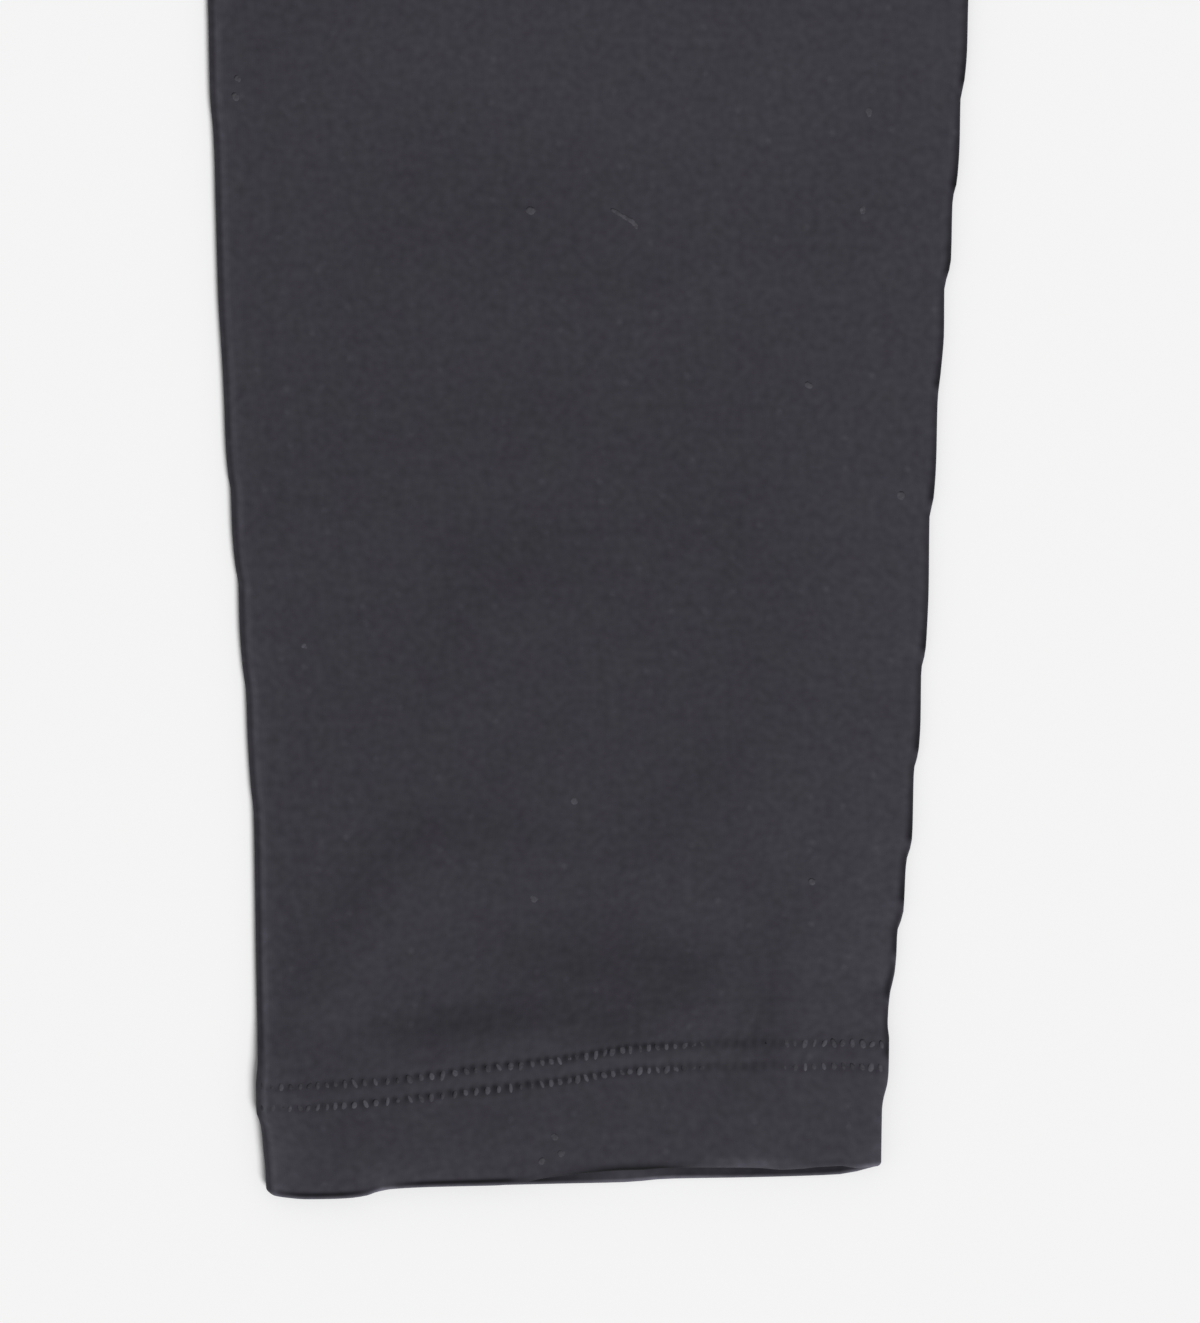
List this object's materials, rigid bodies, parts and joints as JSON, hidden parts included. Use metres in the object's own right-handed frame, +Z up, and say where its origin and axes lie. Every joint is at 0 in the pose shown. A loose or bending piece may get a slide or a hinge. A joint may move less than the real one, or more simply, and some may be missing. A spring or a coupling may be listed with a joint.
{
  "type": "leggings laid flat",
  "caption": "Full-length charcoal jersey leggings with a waistband casing and cover-stitched hems, laid flat, front up.",
  "frame": {"origin": "middle of the footprint, on the surface that the leggings lie on", "axes": "+Y runs up the garment from the hems to the waist, +Z up away from the surface with the front of the garment on top, +X to the viewer's right, which is the wearer's left"},
  "size_m": [0.4598, 0.9897, 0.0059],
  "materials": {
    "jersey": "matt brushed knit, charcoal",
    "waistband_jersey": "matt brushed knit over elastic, charcoal",
    "thread": "overlock and cover-stitch thread, dark grey",
    "lint": "a few pale fibres on the cloth"
  },
  "bodies": {
    "root": {"right_leg": "jersey", "left_leg": "jersey", "waistband": "waistband_jersey"}
  },
  "joints": []
}
